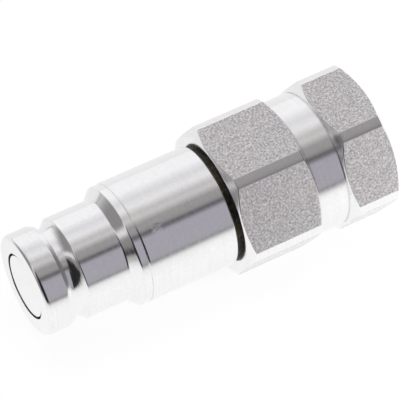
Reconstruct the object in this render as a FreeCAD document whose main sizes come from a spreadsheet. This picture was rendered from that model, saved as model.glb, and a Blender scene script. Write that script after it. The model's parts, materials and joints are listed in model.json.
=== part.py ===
import FreeCAD, Part
import math
import os

import Sketcher

# A flat face coupling nipple in millimetres. The origin is the centre of the flat mating face.
# +X runs along the axis to the rear port, and +Z is up, square to a pair of hexagon flats.

# Driving sizes. Diameters and lengths are the finished ones, and a gap is a clearance.
SIZES = {
    # nose and locking groove of the plug body
    "nose_diameter": 24.5,
    "nose_edge": 0.5,
    "front_land_length": 5.6,
    "land_taper_length": 1.2,
    "land_taper_drop": 0.5,
    "lock_front_wall": 0.35,
    "lock_groove_depth": 1.8,
    "lock_floor_length": 0.75,
    "lock_flank_radius": 4.6,
    "rear_land_start": 10.5,
    "rear_land_length": 10.4,
    "edge_break": 0.25,
    # shoulder band, barrel and the narrow groove behind it
    "band_diameter": 29.0,
    "band_length": 1.9,
    "band_line_depth": 0.2,
    "barrel_diameter": 29.3,
    "barrel_length": 21.8,
    "barrel_edge": 0.2,
    "cap_groove_width": 1.0,
    "cap_groove_depth": 1.65,
    # the two hexagons and the neck between them
    "hex_flats": 34.0,
    "hex_corner_diameter": 37.9,
    "hex_face_inset": 0.4,
    "hex_chamfer_angle": 30.0,
    "body_hex_length": 19.7,
    "neck_relief": 0.5,
    "neck_length": 7.5,
    "neck_edge": 0.2,
    "adapter_hex_length": 13.0,
    # hollow of the plug body
    "bore_edge": 0.4,
    "seat_setback": 0.9,
    "nose_wall": 2.05,
    "cavity_setback": 0.5,
    "barrel_wall": 3.15,
    "guide_setback": 2.1,
    # sprung valve
    "valve_face_diameter": 16.8,
    "face_gap": 0.3,
    "face_edge": 0.15,
    "face_land_length": 2.6,
    "guide_land_gap": 0.08,
    "seat_gap": 0.2,
    "flange_gap": 0.3,
    "flange_length": 1.8,
    "stem_diameter": 8.0,
    "stem_gap": 0.05,
    "stem_reach": 1.5,
    "stem_edge": 0.6,
    # seals
    "seal_cord": 1.76,
    "seal_groove_width": 3.6,
    "seal_running_gap": 0.07,
    "seal_seat_gap": 0.02,
    "backup_width": 1.3,
    "backup_gap": 0.1,
    # valve spring
    "spring_wire": 1.6,
    "spring_mean_diameter": 14.4,
    "spring_active_turns": 5.0,
    "spring_end_turns": 1.0,
    "end_coil_gap": 0.1,
    "spring_tip_rise": 0.2,
    "spring_seat_gap": 0.05,
    "pilot_gap": 0.3,
    "pilot_length": 2.5,
    "pilot_edge": 0.4,
    # valve guide
    "guide_diameter": 25.2,
    "guide_clearance": 0.1,
    "guide_thickness": 3.0,
    "hub_rear_length": 4.0,
    "window_margin": 0.1,
    "window_angle": 62.0,
    # screwed joint and port of the rear adapter
    "joint_thread_diameter": 27.0,
    "joint_thread_gap": 0.05,
    "spigot_nose_length": 5.5,
    "spigot_edge": 0.4,
    "thread_runout": 0.5,
    "seal_offset": 1.0,
    "passage_diameter": 19.0,
    "port_minor_diameter": 24.12,
    "port_mouth_diameter": 27.0,
    "port_depth": 16.5,
}
WINDOW_COUNT = 4
FLAT_COUNT = 6

# Places and radii worked out from the sizes.
PLACES = {
    # outside of the plug body
    "nose_radius": "Sizes.nose_diameter / 2",
    "nose_edge_radius": "nose_radius - Sizes.nose_edge",
    "taper_end": "Sizes.front_land_length + Sizes.land_taper_length",
    "taper_radius": "nose_radius - Sizes.land_taper_drop",
    "lock_floor_start": "taper_end + Sizes.lock_front_wall",
    "lock_floor_end": "lock_floor_start + Sizes.lock_floor_length",
    "lock_floor_radius": "nose_radius - Sizes.lock_groove_depth",
    "rear_land_ramp": "Sizes.rear_land_start - Sizes.edge_break",
    "rear_land_ramp_radius": "nose_radius - Sizes.edge_break",
    "rear_land_front": "Sizes.rear_land_start + Sizes.edge_break",
    "rear_land_end": "Sizes.rear_land_start + Sizes.rear_land_length",
    "band_radius": "Sizes.band_diameter / 2",
    "shoulder_end": "rear_land_end + band_radius - nose_radius",
    "shoulder_ramp": "shoulder_end - Sizes.edge_break",
    "shoulder_ramp_radius": "band_radius - Sizes.edge_break",
    "band_start": "shoulder_end + Sizes.edge_break",
    "band_end": "shoulder_end + Sizes.band_length",
    "band_line_start": "band_end - Sizes.band_line_depth",
    "band_line_radius": "band_radius - Sizes.band_line_depth",
    "barrel_radius": "Sizes.barrel_diameter / 2",
    "barrel_start": "band_end + barrel_radius - band_line_radius",
    "barrel_end": "band_end + Sizes.barrel_length",
    "barrel_edge_start": "barrel_end - Sizes.barrel_edge",
    "barrel_edge_radius": "barrel_radius - Sizes.barrel_edge",
    "cap_floor_radius": "barrel_radius - Sizes.cap_groove_depth",
    "hex_front": "barrel_end + Sizes.cap_groove_width",
    "hex_rear": "hex_front + Sizes.body_hex_length",
    "hex_face_radius": "Sizes.hex_flats / 2 - Sizes.hex_face_inset",
    "hex_corner_radius": "Sizes.hex_corner_diameter / 2",
    "hex_point_radius": "Sizes.hex_flats / sqrt(3)",
    "hex_trim_radius": "hex_point_radius + hex_corner_radius",
    "hex_chamfer_run": "(hex_corner_radius - hex_face_radius) * tan(Sizes.hex_chamfer_angle)",
    "hex_strip_start": "hex_front + hex_chamfer_run",
    "hex_strip_end": "hex_rear - hex_chamfer_run",
    # hollow of the plug body
    "bore_radius": "Sizes.valve_face_diameter / 2 + Sizes.face_gap",
    "bore_mouth_radius": "bore_radius + Sizes.bore_edge",
    "seat_start": "Sizes.rear_land_start - Sizes.seat_setback",
    "chamber_radius": "nose_radius - Sizes.nose_wall",
    "seat_end": "seat_start + chamber_radius - bore_radius",
    "cavity_radius": "barrel_radius - Sizes.barrel_wall",
    "chamber_end": "rear_land_end - Sizes.cavity_setback",
    "cavity_start": "chamber_end + cavity_radius - chamber_radius",
    "guide_front": "hex_front + Sizes.guide_setback",
    "guide_radius": "Sizes.guide_diameter / 2",
    "guide_bore_radius": "guide_radius + Sizes.guide_clearance",
    "guide_rear": "guide_front + Sizes.guide_thickness",
    "spigot_thread_start": "guide_rear + Sizes.spigot_nose_length",
    "body_thread_start": "spigot_thread_start - Sizes.thread_runout",
    "spigot_thread_radius": "Sizes.joint_thread_diameter / 2",
    "body_thread_radius": "spigot_thread_radius + Sizes.joint_thread_gap",
    # sprung valve
    "face_radius": "Sizes.valve_face_diameter / 2",
    "face_edge_radius": "face_radius - Sizes.face_edge",
    "cord_radius": "Sizes.seal_cord / 2",
    "valve_seal_radius": "bore_radius - Sizes.seal_running_gap - cord_radius",
    "seal_floor_radius": "valve_seal_radius - cord_radius - Sizes.seal_seat_gap",
    "seal_groove_end": "Sizes.face_land_length + Sizes.seal_groove_width",
    "guide_land_radius": "bore_radius - Sizes.guide_land_gap",
    "valve_seat_start": "seat_start - Sizes.guide_land_gap + Sizes.seat_gap",
    "flange_radius": "chamber_radius - Sizes.flange_gap",
    "flange_start": "valve_seat_start + flange_radius - guide_land_radius",
    "flange_end": "flange_start + Sizes.flange_length",
    "pilot_radius": "(Sizes.spring_mean_diameter - Sizes.spring_wire) / 2 - Sizes.pilot_gap",
    "pilot_edge_radius": "pilot_radius - Sizes.pilot_edge",
    "pilot_end": "flange_end + Sizes.pilot_length",
    "pilot_edge_start": "pilot_end - Sizes.pilot_edge",
    "stem_radius": "Sizes.stem_diameter / 2",
    "stem_start": "pilot_end + pilot_edge_radius - stem_radius",
    "hub_end": "guide_rear + Sizes.hub_rear_length",
    "stem_end": "hub_end + Sizes.stem_reach",
    "stem_edge_start": "stem_end - Sizes.stem_edge",
    "stem_edge_radius": "stem_radius - Sizes.stem_edge",
    # seal on the valve: the backup ring stands on the outer side
    "valve_backup_front": "Sizes.face_land_length + Sizes.backup_gap",
    "valve_backup_rear": "valve_backup_front + Sizes.backup_width",
    "valve_backup_inner": "seal_floor_radius + Sizes.seal_seat_gap",
    "valve_backup_outer": "bore_radius - Sizes.seal_running_gap",
    "valve_seal_place": "(valve_backup_rear + seal_groove_end) / 2",
    # valve spring
    "spring_mean_radius": "Sizes.spring_mean_diameter / 2",
    "wire_radius": "Sizes.spring_wire / 2",
    "spring_front": "flange_end + Sizes.spring_seat_gap",
    "spring_rear": "guide_front",
    "end_coil_length": "(Sizes.spring_wire + Sizes.end_coil_gap) * Sizes.spring_end_turns",
    "front_coil_start": "spring_front + Sizes.spring_tip_rise",
    "active_coil_start": "front_coil_start + end_coil_length",
    "rear_coil_start": "spring_rear - Sizes.spring_tip_rise - end_coil_length",
    "active_coil_length": "rear_coil_start - active_coil_start",
    "front_coil_angle": "0",
    "active_coil_angle": "360 * Sizes.spring_end_turns",
    "rear_coil_angle": "active_coil_angle + 360 * Sizes.spring_active_turns",
    "coil_clear_front": "spring_front - Sizes.spring_wire",
    "coil_clear_rear": "spring_rear + Sizes.spring_wire",
    "coil_clear_radius": "spring_mean_radius + Sizes.spring_wire",
    # valve guide
    "hub_bore_radius": "stem_radius + Sizes.stem_gap",
    "guide_pilot_front": "guide_front - Sizes.pilot_length",
    "guide_pilot_edge": "guide_pilot_front + Sizes.pilot_edge",
    "hub_edge_start": "hub_end - Sizes.pilot_edge",
    "passage_radius": "Sizes.passage_diameter / 2",
    "window_inner_radius": "pilot_radius + Sizes.window_margin",
    "window_outer_radius": "passage_radius - Sizes.window_margin",
    "window_half_angle": "Sizes.window_angle / 2",
    # rear adapter
    "spigot_edge_rear": "guide_rear + Sizes.spigot_edge",
    "spigot_edge_radius": "guide_radius - Sizes.spigot_edge",
    "body_seal_front": "guide_rear + Sizes.seal_offset",
    "body_seal_rear": "body_seal_front + Sizes.seal_groove_width",
    "body_seal_radius": "guide_bore_radius - Sizes.seal_seat_gap - cord_radius",
    "body_seal_floor": "body_seal_radius - cord_radius - Sizes.seal_seat_gap",
    "body_backup_rear": "body_seal_rear - Sizes.backup_gap",
    "body_backup_front": "body_backup_rear - Sizes.backup_width",
    "body_backup_inner": "body_seal_floor + Sizes.seal_seat_gap",
    "body_backup_outer": "guide_bore_radius - Sizes.seal_seat_gap",
    "body_seal_place": "(body_seal_front + body_backup_front) / 2",
    "neck_radius": "Sizes.hex_flats / 2 - Sizes.neck_relief",
    "neck_edge_end": "hex_rear + Sizes.neck_edge",
    "neck_edge_radius": "neck_radius - Sizes.neck_edge",
    "adapter_hex_front": "hex_rear + Sizes.neck_length",
    "adapter_rear": "adapter_hex_front + Sizes.adapter_hex_length",
    "adapter_strip_start": "adapter_hex_front + hex_chamfer_run",
    "adapter_strip_end": "adapter_rear - hex_chamfer_run",
    "port_radius": "Sizes.port_minor_diameter / 2",
    "port_mouth_radius": "Sizes.port_mouth_diameter / 2",
    "port_wall_end": "adapter_rear - port_mouth_radius + port_radius",
    "port_bottom": "adapter_rear - Sizes.port_depth",
    "port_cone_end": "port_bottom - (port_radius - passage_radius) * tan(Sizes.hex_chamfer_angle)",
}

# Sketch numbering: the origin point and horizontal axis share one index.
HORIZONTAL, VERTICAL = range(-1, -3, -1)
ORIGIN = HORIZONTAL
START, END, CENTRE = range(1, 4)
ZERO = "zero"

doc = FreeCAD.newDocument("flat_face_nipple")


def fill_sheet(name, rows):
    """One sheet with a name in column A and its value, under the same alias, in column B."""
    sheet = doc.addObject("Spreadsheet::Sheet", name)
    for row, (alias, content) in enumerate(rows.items(), start=1):
        sheet.set(f"A{row}", alias)
        sheet.set(f"B{row}", content)
        sheet.setAlias(f"B{row}", alias)
    doc.recompute()


def cell(name):
    """Reference to a named cell, for use in an expression."""
    return f"Sizes.{name}" if name in SIZES else f"Places.{name}"


def measure(name):
    """Number that a named cell holds now."""
    if name == ZERO:
        return 0.0
    sheet = doc.Sizes if name in SIZES else doc.Places
    return float(getattr(sheet, name))


def new_body(label):
    body = doc.addObject("PartDesign::Body", label)
    body.Label = label
    return body


def new_sketch(body, name, role):
    """Empty sketch on one of the body's own origin planes."""
    sketch = body.newObject("Sketcher::SketchObject", name)
    plane = next(feature for feature in body.Origin.OriginFeatures if feature.Role == role)
    sketch.AttachmentSupport = [(plane, "")]
    sketch.MapMode = "FlatFace"
    return sketch


def hold(sketch, kind, name, *where):
    """Add one dimension and tie it to a named cell."""
    index = sketch.addConstraint(Sketcher.Constraint(kind, *where, measure(name)))
    sketch.setExpression(f"Constraints[{index}]", cell(name))


def hold_point(sketch, geometry, point, across, up):
    """Place one point of a sketch by two named distances from the origin."""
    for kind, name, axis in (("DistanceX", across, VERTICAL), ("DistanceY", up, HORIZONTAL)):
        if name == ZERO:
            sketch.addConstraint(Sketcher.Constraint("PointOnObject", geometry, point, axis))
        else:
            hold(sketch, kind, name, ORIGIN, START, geometry, point)


def hollow_arc(start, end, radius):
    """Arc of a radius from start to end, with its centre on the left of the way there."""
    chord = end - start
    left = FreeCAD.Vector(-chord.y, chord.x, 0).normalize()
    sagitta = radius - math.sqrt(radius ** 2 - chord.Length ** 2 / 4)
    return Part.Arc(start, (start + end) * 0.5 - left * sagitta, end)


def half_section(body, name, corners):
    """Closed outline above the X axis, through corners named by (place along the axis, radius).

    A third name in a corner makes the edge after it a hollow arc of that radius."""
    sketch = new_sketch(body, name, "XY_Plane")
    spots = [FreeCAD.Vector(measure(along), measure(radius), 0) for along, radius, *_ in corners]
    for corner, start, end in zip(corners, spots, spots[1:] + spots[:1]):
        if len(corner) == 3:
            bend = corner[2]
            arc = sketch.addGeometry(hollow_arc(start, end, measure(bend)), False)
            hold(sketch, "Radius", bend, arc)
        else:
            sketch.addGeometry(Part.LineSegment(start, end), False)
    for edge, (along, radius, *_) in enumerate(corners):
        before = (edge - 1) % len(corners)
        sketch.addConstraint(Sketcher.Constraint("Coincident", before, END, edge, START))
        hold_point(sketch, edge, START, along, radius)
    return sketch


def turn(body, name, corners):
    """Solid of revolution about the X axis."""
    sketch = half_section(body, name + "_outline", corners)
    solid = body.newObject("PartDesign::Revolution", name)
    solid.Profile = sketch
    solid.ReferenceAxis = (sketch, ["H_Axis"])
    solid.Angle = 360
    doc.recompute()


def must_shrink(feature, volume_before):
    """Stop if a cut took nothing away."""
    if feature.Shape.Volume >= volume_before:
        raise ValueError(f"{feature.Name} cuts nothing")


def turn_away(body, name, corners):
    """Cut of revolution about the X axis."""
    volume_before = body.Tip.Shape.Volume
    sketch = half_section(body, name + "_outline", corners)
    groove = body.newObject("PartDesign::Groove", name)
    groove.Profile = sketch
    groove.ReferenceAxis = (sketch, ["H_Axis"])
    groove.Angle = 360
    doc.recompute()
    must_shrink(groove, volume_before)


def hexagon(body, name, front, length):
    """Hexagon bar along the axis with a flat facing straight down."""
    bar = body.newObject("PartDesign::AdditivePrism", name)
    plane = next(feature for feature in body.Origin.OriginFeatures if feature.Role == "YZ_Plane")
    bar.AttachmentSupport = [(plane, "")]
    bar.MapMode = "FlatFace"
    bar.Polygon = FLAT_COUNT
    bar.setExpression("Circumradius", cell("hex_point_radius"))
    bar.setExpression("Height", cell(length))
    bar.setExpression("AttachmentOffset.Base.z", cell(front))
    doc.recompute()


def trim_corners(body, name, front, strip_start, strip_end, rear):
    """Turn the hexagon's corners to a round and chamfer both of its ends."""
    turn_away(body, name, [
        (front, "hex_face_radius"),
        (strip_start, "hex_corner_radius"),
        (strip_end, "hex_corner_radius"),
        (rear, "hex_face_radius"),
        (rear, "hex_trim_radius"),
        (front, "hex_trim_radius"),
    ])


def plug_body():
    """Nose, locking groove, shoulder, barrel and front hexagon in one turned piece."""
    body = new_body("plug_body")
    turn(body, "plug_outside", [
        (ZERO, ZERO),
        (ZERO, "nose_edge_radius"),
        ("nose_edge", "nose_radius"),
        ("front_land_length", "nose_radius"),
        ("taper_end", "taper_radius"),
        ("lock_floor_start", "lock_floor_radius"),
        ("lock_floor_end", "lock_floor_radius", "lock_flank_radius"),
        ("rear_land_ramp", "rear_land_ramp_radius"),
        ("rear_land_front", "nose_radius"),
        ("rear_land_end", "nose_radius"),
        ("shoulder_ramp", "shoulder_ramp_radius"),
        ("band_start", "band_radius"),
        ("band_line_start", "band_radius"),
        ("band_end", "band_line_radius"),
        ("barrel_start", "barrel_radius"),
        ("barrel_edge_start", "barrel_radius"),
        ("barrel_end", "barrel_edge_radius"),
        ("barrel_end", "cap_floor_radius"),
        ("hex_rear", "cap_floor_radius"),
        ("hex_rear", ZERO),
    ])
    hexagon(body, "plug_hexagon", "hex_front", "body_hex_length")
    trim_corners(body, "plug_corners", "hex_front", "hex_strip_start", "hex_strip_end", "hex_rear")
    turn_away(body, "plug_hollow", [
        (ZERO, ZERO),
        (ZERO, "bore_mouth_radius"),
        ("bore_edge", "bore_radius"),
        ("seat_start", "bore_radius"),
        ("seat_end", "chamber_radius"),
        ("chamber_end", "chamber_radius"),
        ("cavity_start", "cavity_radius"),
        ("guide_front", "cavity_radius"),
        ("guide_front", "guide_bore_radius"),
        ("body_thread_start", "guide_bore_radius"),
        ("body_thread_start", "body_thread_radius"),
        ("hex_rear", "body_thread_radius"),
        ("hex_rear", ZERO),
    ])
    return body


def rear_adapter():
    """Spigot, neck and rear hexagon with the port, screwed into the plug body."""
    body = new_body("rear_adapter")
    turn(body, "adapter_outside", [
        ("guide_rear", ZERO),
        ("guide_rear", "spigot_edge_radius"),
        ("spigot_edge_rear", "guide_radius"),
        ("body_seal_front", "guide_radius"),
        ("body_seal_front", "body_seal_floor"),
        ("body_seal_rear", "body_seal_floor"),
        ("body_seal_rear", "guide_radius"),
        ("spigot_thread_start", "guide_radius"),
        ("spigot_thread_start", "spigot_thread_radius"),
        ("hex_rear", "spigot_thread_radius"),
        ("hex_rear", "neck_edge_radius"),
        ("neck_edge_end", "neck_radius"),
        ("adapter_rear", "neck_radius"),
        ("adapter_rear", ZERO),
    ])
    hexagon(body, "adapter_hexagon", "adapter_hex_front", "adapter_hex_length")
    trim_corners(
        body, "adapter_corners",
        "adapter_hex_front", "adapter_strip_start", "adapter_strip_end", "adapter_rear",
    )
    turn_away(body, "adapter_hollow", [
        ("guide_rear", ZERO),
        ("guide_rear", "passage_radius"),
        ("port_cone_end", "passage_radius"),
        ("port_bottom", "port_radius"),
        ("port_wall_end", "port_radius"),
        ("adapter_rear", "port_mouth_radius"),
        ("adapter_rear", ZERO),
    ])
    return body


def flat_face_valve():
    """Poppet with a flat face, a seal groove, a cone seat, a spring pilot and a stem."""
    body = new_body("flat_face_valve")
    turn(body, "valve_outside", [
        (ZERO, ZERO),
        (ZERO, "face_edge_radius"),
        ("face_edge", "face_radius"),
        ("face_land_length", "face_radius"),
        ("face_land_length", "seal_floor_radius"),
        ("seal_groove_end", "seal_floor_radius"),
        ("seal_groove_end", "guide_land_radius"),
        ("valve_seat_start", "guide_land_radius"),
        ("flange_start", "flange_radius"),
        ("flange_end", "flange_radius"),
        ("flange_end", "pilot_radius"),
        ("pilot_edge_start", "pilot_radius"),
        ("pilot_end", "pilot_edge_radius"),
        ("stem_start", "stem_radius"),
        ("stem_edge_start", "stem_radius"),
        ("stem_end", "stem_edge_radius"),
        ("stem_end", ZERO),
    ])
    return body


def o_ring(label, place, ring_radius):
    """O-ring about the X axis."""
    ring = doc.addObject("Part::Torus", label)
    ring.Label = label
    ring.Placement = FreeCAD.Placement(FreeCAD.Vector(), FreeCAD.Rotation(FreeCAD.Vector(0, 1, 0), 90))
    ring.setExpression("Radius1", cell(ring_radius))
    ring.setExpression("Radius2", cell("cord_radius"))
    ring.setExpression("Placement.Base.x", cell(place))
    return ring


def backup_ring(label, front, rear, inner, outer):
    """Square-cut ring that keeps an O-ring out of the gap behind it."""
    body = new_body(label)
    turn(body, label + "_section", [
        (front, inner),
        (front, outer),
        (rear, outer),
        (rear, inner),
    ])
    return body


def wind(body, name, place, angle, length, turns):
    """Stretch of round wire wound on a helix about the X axis, from a place and angle on."""
    section = new_sketch(body, name + "_wire", "XY_Plane")
    section.AttachmentOffset = FreeCAD.Placement(
        FreeCAD.Vector(), FreeCAD.Rotation(FreeCAD.Vector(1, 0, 0), measure(angle))
    )
    section.setExpression("AttachmentOffset.Rotation.Angle", cell(angle))
    middle = FreeCAD.Vector(measure(place), measure("spring_mean_radius"), 0)
    circle = Part.Circle(middle, FreeCAD.Vector(0, 0, 1), measure("wire_radius"))
    wire = section.addGeometry(circle, False)
    hold_point(section, wire, CENTRE, place, "spring_mean_radius")
    hold(section, "Radius", "wire_radius", wire)
    coil = body.newObject("PartDesign::AdditiveHelix", name)
    coil.Profile = section
    coil.ReferenceAxis = (section, ["H_Axis"])
    coil.Mode = "height-turns-angle"
    coil.setExpression("Height", cell(length))
    coil.setExpression("Turns", cell(turns))
    doc.recompute()


def valve_spring():
    """Round-wire compression spring with closed end coils, ground flat."""
    body = new_body("valve_spring")
    wind(body, "front_coil", "front_coil_start", "front_coil_angle", "end_coil_length", "spring_end_turns")
    wind(
        body, "active_coil",
        "active_coil_start", "active_coil_angle", "active_coil_length", "spring_active_turns",
    )
    wind(body, "rear_coil", "rear_coil_start", "rear_coil_angle", "end_coil_length", "spring_end_turns")
    for name, start, end in (
        ("front_grind", "coil_clear_front", "spring_front"),
        ("rear_grind", "spring_rear", "coil_clear_rear"),
    ):
        turn_away(body, name, [
            (start, ZERO),
            (end, ZERO),
            (end, "coil_clear_radius"),
            (start, "coil_clear_radius"),
        ])
    return body


def window_outline(body):
    """Flow window between two arcs about the axis and two radial edges, centred on the Y axis."""
    sketch = new_sketch(body, "window_outline", "YZ_Plane")
    middle = FreeCAD.Vector(0, 0, 0)
    normal = FreeCAD.Vector(0, 0, 1)
    half_turn = math.radians(measure("window_half_angle"))
    arcs = []
    for radius in ("window_outer_radius", "window_inner_radius"):
        circle = Part.Circle(middle, normal, measure(radius))
        arc = sketch.addGeometry(Part.ArcOfCircle(circle, -half_turn, half_turn), False)
        sketch.addConstraint(Sketcher.Constraint("Coincident", arc, CENTRE, ORIGIN, START))
        hold(sketch, "Radius", radius, arc)
        arcs.append(arc)
    outer, inner = arcs
    for end in (START, END):
        line = Part.LineSegment(sketch.getPoint(inner, end), sketch.getPoint(outer, end))
        edge = sketch.addGeometry(line, False)
        sketch.addConstraint(Sketcher.Constraint("Coincident", edge, START, inner, end))
        sketch.addConstraint(Sketcher.Constraint("Coincident", edge, END, outer, end))
        sketch.addConstraint(Sketcher.Constraint("PointOnObject", ORIGIN, START, edge))
    sketch.addConstraint(Sketcher.Constraint("Symmetric", outer, START, outer, END, HORIZONTAL))
    index = sketch.addConstraint(Sketcher.Constraint("Angle", edge, half_turn))
    sketch.setExpression(f"Constraints[{index}]", cell("window_half_angle"))
    return sketch


def valve_guide():
    """Plate with a bored hub for the stem, a pilot for the spring and a ring of flow windows."""
    body = new_body("valve_guide")
    turn(body, "guide_outside", [
        ("guide_pilot_front", "hub_bore_radius"),
        ("guide_pilot_front", "pilot_edge_radius"),
        ("guide_pilot_edge", "pilot_radius"),
        ("guide_front", "pilot_radius"),
        ("guide_front", "guide_radius"),
        ("guide_rear", "guide_radius"),
        ("guide_rear", "pilot_radius"),
        ("hub_edge_start", "pilot_radius"),
        ("hub_end", "pilot_edge_radius"),
        ("hub_end", "hub_bore_radius"),
    ])
    volume_before = body.Tip.Shape.Volume
    window = body.newObject("PartDesign::Pocket", "window")
    window.Profile = window_outline(body)
    window.Type = "ThroughAll"
    window.Midplane = True
    doc.recompute()
    must_shrink(window, volume_before)
    windows = body.newObject("PartDesign::PolarPattern", "windows")
    windows.Originals = [window]
    windows.Axis = (window.Profile[0], ["N_Axis"])
    windows.Angle = 360
    windows.Occurrences = WINDOW_COUNT
    body.Tip = windows
    doc.recompute()
    must_shrink(windows, window.Shape.Volume)
    return body


def check(pieces):
    """Stop if any object failed or any piece is empty or invalid."""
    for item in doc.Objects:
        if {"Invalid", "Error"} & set(item.State):
            raise ValueError(f"{item.Name} failed: {item.State}")
    for piece in pieces:
        if piece.Shape.isNull() or not piece.Shape.isValid() or not piece.Shape.Solids:
            raise ValueError(f"{piece.Label} has no valid solid")


fill_sheet("Sizes", {name: str(number) for name, number in SIZES.items()})
fill_sheet("Places", {name: "=" + formula for name, formula in PLACES.items()})
pieces = [
    plug_body(),
    rear_adapter(),
    flat_face_valve(),
    o_ring("valve_seal", "valve_seal_place", "valve_seal_radius"),
    backup_ring(
        "valve_backup_ring",
        "valve_backup_front", "valve_backup_rear", "valve_backup_inner", "valve_backup_outer",
    ),
    valve_spring(),
    valve_guide(),
    o_ring("body_o_ring", "body_seal_place", "body_seal_radius"),
    backup_ring(
        "body_backup_ring",
        "body_backup_front", "body_backup_rear", "body_backup_inner", "body_backup_outer",
    ),
]
doc.recompute()
check(pieces)
os.makedirs("parts", exist_ok=True)
for piece in pieces:
    piece.Shape.exportStep(f"parts/{piece.Label}.step")
    box = piece.Shape.BoundBox
    print(
        f"{piece.Label}: volume {piece.Shape.Volume:.0f} mm3, x {box.XMin:.2f} to {box.XMax:.2f}, "
        f"z {box.ZMin:.2f} to {box.ZMax:.2f}"
    )
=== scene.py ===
import json
import math

import bpy
import numpy as np
from mathutils import Matrix, Vector


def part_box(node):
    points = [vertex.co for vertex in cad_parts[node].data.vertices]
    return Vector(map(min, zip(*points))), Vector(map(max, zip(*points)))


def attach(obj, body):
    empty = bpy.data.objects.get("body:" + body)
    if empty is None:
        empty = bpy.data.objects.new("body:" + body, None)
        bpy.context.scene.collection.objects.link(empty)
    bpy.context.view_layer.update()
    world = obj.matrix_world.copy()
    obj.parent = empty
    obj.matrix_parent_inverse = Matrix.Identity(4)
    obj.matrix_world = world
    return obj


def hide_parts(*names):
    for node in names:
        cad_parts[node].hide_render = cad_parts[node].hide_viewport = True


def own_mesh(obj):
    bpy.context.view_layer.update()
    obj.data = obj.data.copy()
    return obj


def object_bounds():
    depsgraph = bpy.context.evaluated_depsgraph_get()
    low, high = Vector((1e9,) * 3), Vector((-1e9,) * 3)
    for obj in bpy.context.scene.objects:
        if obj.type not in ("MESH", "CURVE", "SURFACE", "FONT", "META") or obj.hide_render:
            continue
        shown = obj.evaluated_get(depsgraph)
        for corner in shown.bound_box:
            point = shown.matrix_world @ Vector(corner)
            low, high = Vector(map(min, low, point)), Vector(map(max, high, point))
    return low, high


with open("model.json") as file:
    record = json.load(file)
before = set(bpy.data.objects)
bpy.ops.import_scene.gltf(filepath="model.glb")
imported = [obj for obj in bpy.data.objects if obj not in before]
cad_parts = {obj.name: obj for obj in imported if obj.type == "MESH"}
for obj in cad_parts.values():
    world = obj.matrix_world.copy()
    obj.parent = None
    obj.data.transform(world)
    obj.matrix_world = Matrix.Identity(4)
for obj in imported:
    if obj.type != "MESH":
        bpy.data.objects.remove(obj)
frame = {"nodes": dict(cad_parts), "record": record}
cad_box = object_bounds()

# The pieces' sizes are in millimetres along the axis and from it. Meshes, camera, floor and lamps are in
# metres.
MM = 0.001
mounts = {mount["name"]: mount for mount in frame["record"]["mounts"]}


def reach_of(node):
    """Front end, rear end and greatest radius of a CAD node, in millimetres."""
    low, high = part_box(node)
    return low.x / MM, high.x / MM, high.y / MM


BODY_FRONT, BODY_REAR, CAD_CORNER = reach_of("plug_body")
SPIGOT_FRONT, ADAPTER_REAR, _ = reach_of("rear_adapter")
VALVE_FRONT, STEM_END, FLANGE_RADIUS = reach_of("flat_face_valve")
SPRING_FRONT, SPRING_REAR, SPRING_RADIUS = reach_of("valve_spring")
_, _, GUIDE_RADIUS = reach_of("valve_guide")
HEX_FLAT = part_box("plug_body")[1].z / MM
NOSE_RADIUS = mounts["nose"]["dims"]["r_mm"]
PORT_RADIUS = mounts["rear_port"]["dims"]["r_mm"]

# Nose and locking groove. The nose's edge is given by places behind its face and drops from its radius.
NOSE_EDGE = ((0.0, 0.64), (0.4, 0.2), (0.88, 0.0))
LAND_END = 5.6
TAPER_END = 6.8
TAPER_RADIUS = 11.75
LOCK_FLOOR_START = 7.15
LOCK_FLOOR_END = 7.9
LOCK_FLOOR_RADIUS = 10.45
LOCK_FLANK_RADIUS = 4.6
LOCK_FLANK_STEPS = 5
REAR_LAND_START = 10.5
REAR_LAND_END = 20.9
# Shoulder band with a fine line at its end, barrel and narrow groove.
BAND_RADIUS = 14.5
BAND_END = 25.05
BAND_LINE_WIDTH = 0.15
BAND_LINE_DEPTH = 0.2
BARREL_EDGE = 0.35
BARREL_RADIUS = 14.65
BARREL_END = 46.85
NARROW_GROOVE_RADIUS = 13.0
# Hexagons and neck.
CORNER_RELIEF = 0.07
HEX_CORNER = CAD_CORNER - CORNER_RELIEF
HEX_FRONT = 47.85
HEX_FACE_DROP = 0.4
HEX_FACE = HEX_FLAT - HEX_FACE_DROP
HEX_CHAMFER = math.radians(30)
NECK_DROP = 0.5
NECK_RADIUS = HEX_FLAT - NECK_DROP
NECK_UNDERCUT = 0.35
JOINT_LINE = 0.2
ADAPTER_HEX_FRONT = 75.05
# Hollow of the plug body.
BORE_RADIUS = 8.7
BORE_EDGE = 0.1
LIP_RADIUS = 8.0
LIP_DEPTH = 0.5
SEAT_START = 9.6
CHAMBER_RADIUS = 10.2
CHAMBER_END = 20.4
CAVITY_RADIUS = 11.5
GUIDE_FRONT = 49.95
GUIDE_ROOM = 0.1
GUIDE_BORE = GUIDE_RADIUS + GUIDE_ROOM
JOINT_START = 57.95
JOINT_RADIUS = 13.5
# Spigot and port of the rear adapter.
SPIGOT_LAND = 1.0
SPIGOT_THREAD = 58.45
SEAL_GROOVE = 3.6
BODY_SEAL_FLOOR = 10.88
PASSAGE_RADIUS = 9.5
PORT_DEPTH = 16.5
PORT_BOTTOM = ADAPTER_REAR - PORT_DEPTH
PORT_CONE = math.radians(30)
PORT_MOUTH = 13.5
PORT_ROWS = 140
PIPE_PITCH = 1.814
PIPE_DEPTH = 1.16
PIPE_RELIEF = 1.0
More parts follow.
